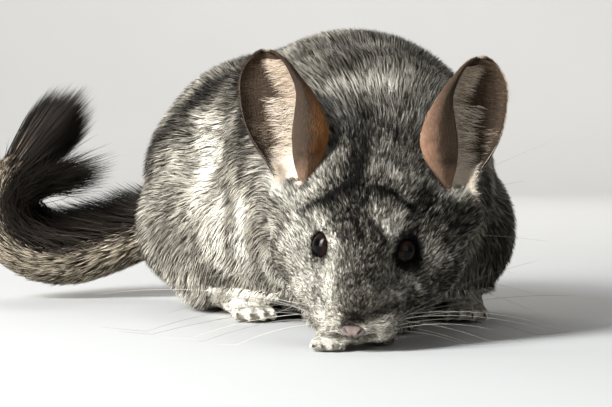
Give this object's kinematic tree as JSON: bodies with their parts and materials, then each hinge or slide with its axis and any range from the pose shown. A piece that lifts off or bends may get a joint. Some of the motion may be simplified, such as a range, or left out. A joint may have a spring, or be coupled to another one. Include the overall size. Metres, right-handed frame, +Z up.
{
  "type": "chinchilla",
  "caption": "Life-size still model of a grey chinchilla crouched on the floor, its head held low, ears up and tail curled up beside it.",
  "frame": {"origin": "middle of the animal's bounding box, on the floor that it rests on", "axes": "+Z up from the floor, -Y the way that the animal faces, +X towards its left side"},
  "size_m": [0.255, 0.2576, 0.1285],
  "materials": {
    "back_fur": "matte",
    "face_fur": "matte",
    "paw_fur": "matte",
    "tail_fur": "matte",
    "ear_skin": "satin",
    "nose_skin": "satin",
    "eye_dark": "gloss"
  },
  "bodies": {
    "root": {"head": "face_fur", "lower_jaw": "face_fur", "nose": "nose_skin", "neck": "back_fur", "torso": "back_fur", "tail_base": "tail_fur", "tail_middle": "tail_fur", "tail_tip": "tail_fur", "ear_right": "ear_skin", "ear_left": "ear_skin", "eye_right": "eye_dark", "eye_left": "eye_dark", "thigh_right": "back_fur", "thigh_left": "back_fur", "hind_foot_right": "paw_fur", "hind_foot_left": "paw_fur", "foreleg_right": "paw_fur", "foreleg_left": "paw_fur", "forepaw_right": "paw_fur", "forepaw_left": "paw_fur"}
  },
  "joints": []
}
